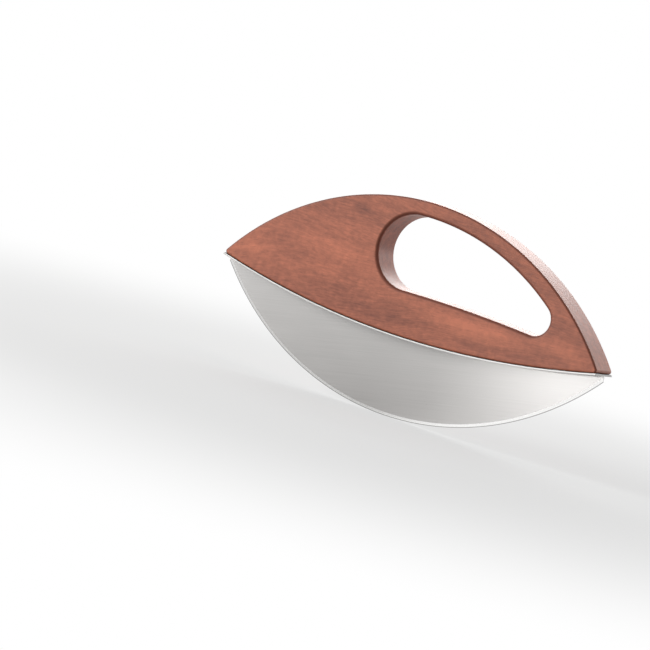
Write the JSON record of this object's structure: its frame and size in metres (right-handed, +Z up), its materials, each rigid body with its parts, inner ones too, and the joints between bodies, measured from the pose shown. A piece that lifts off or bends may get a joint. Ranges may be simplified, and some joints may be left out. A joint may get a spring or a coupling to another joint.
{
  "type": "rocking pizza knife",
  "caption": "Rocking knife for pizza: a crescent steel blade under an almond-shaped wooden handle with a teardrop grip opening, joined by a thin steel collar.",
  "frame": {"origin": "lowest point of the cutting edge, at mid length and mid thickness", "axes": "+X along the knife towards the narrow end of the grip opening, +Y through the thickness from the front face to the back face, +Z up from the cutting edge to the crown of the handle"},
  "size_m": [0.3108, 0.026, 0.1536],
  "materials": {
    "oiled_wood": "oiled, satin, fine straight grain along the knife",
    "blade_steel": "satin, brushed lengthwise, with a brighter ground bevel",
    "collar_steel": "fine satin with polished edges",
    "seal_rubber": "matt dark brown",
    "screw_steel": "plain stainless"
  },
  "bodies": {
    "root": {"wooden_handle": "oiled_wood", "blade": "blade_steel", "collar": "collar_steel", "collar_seal": "seal_rubber", "collar_screws": "screw_steel"}
  },
  "joints": []
}
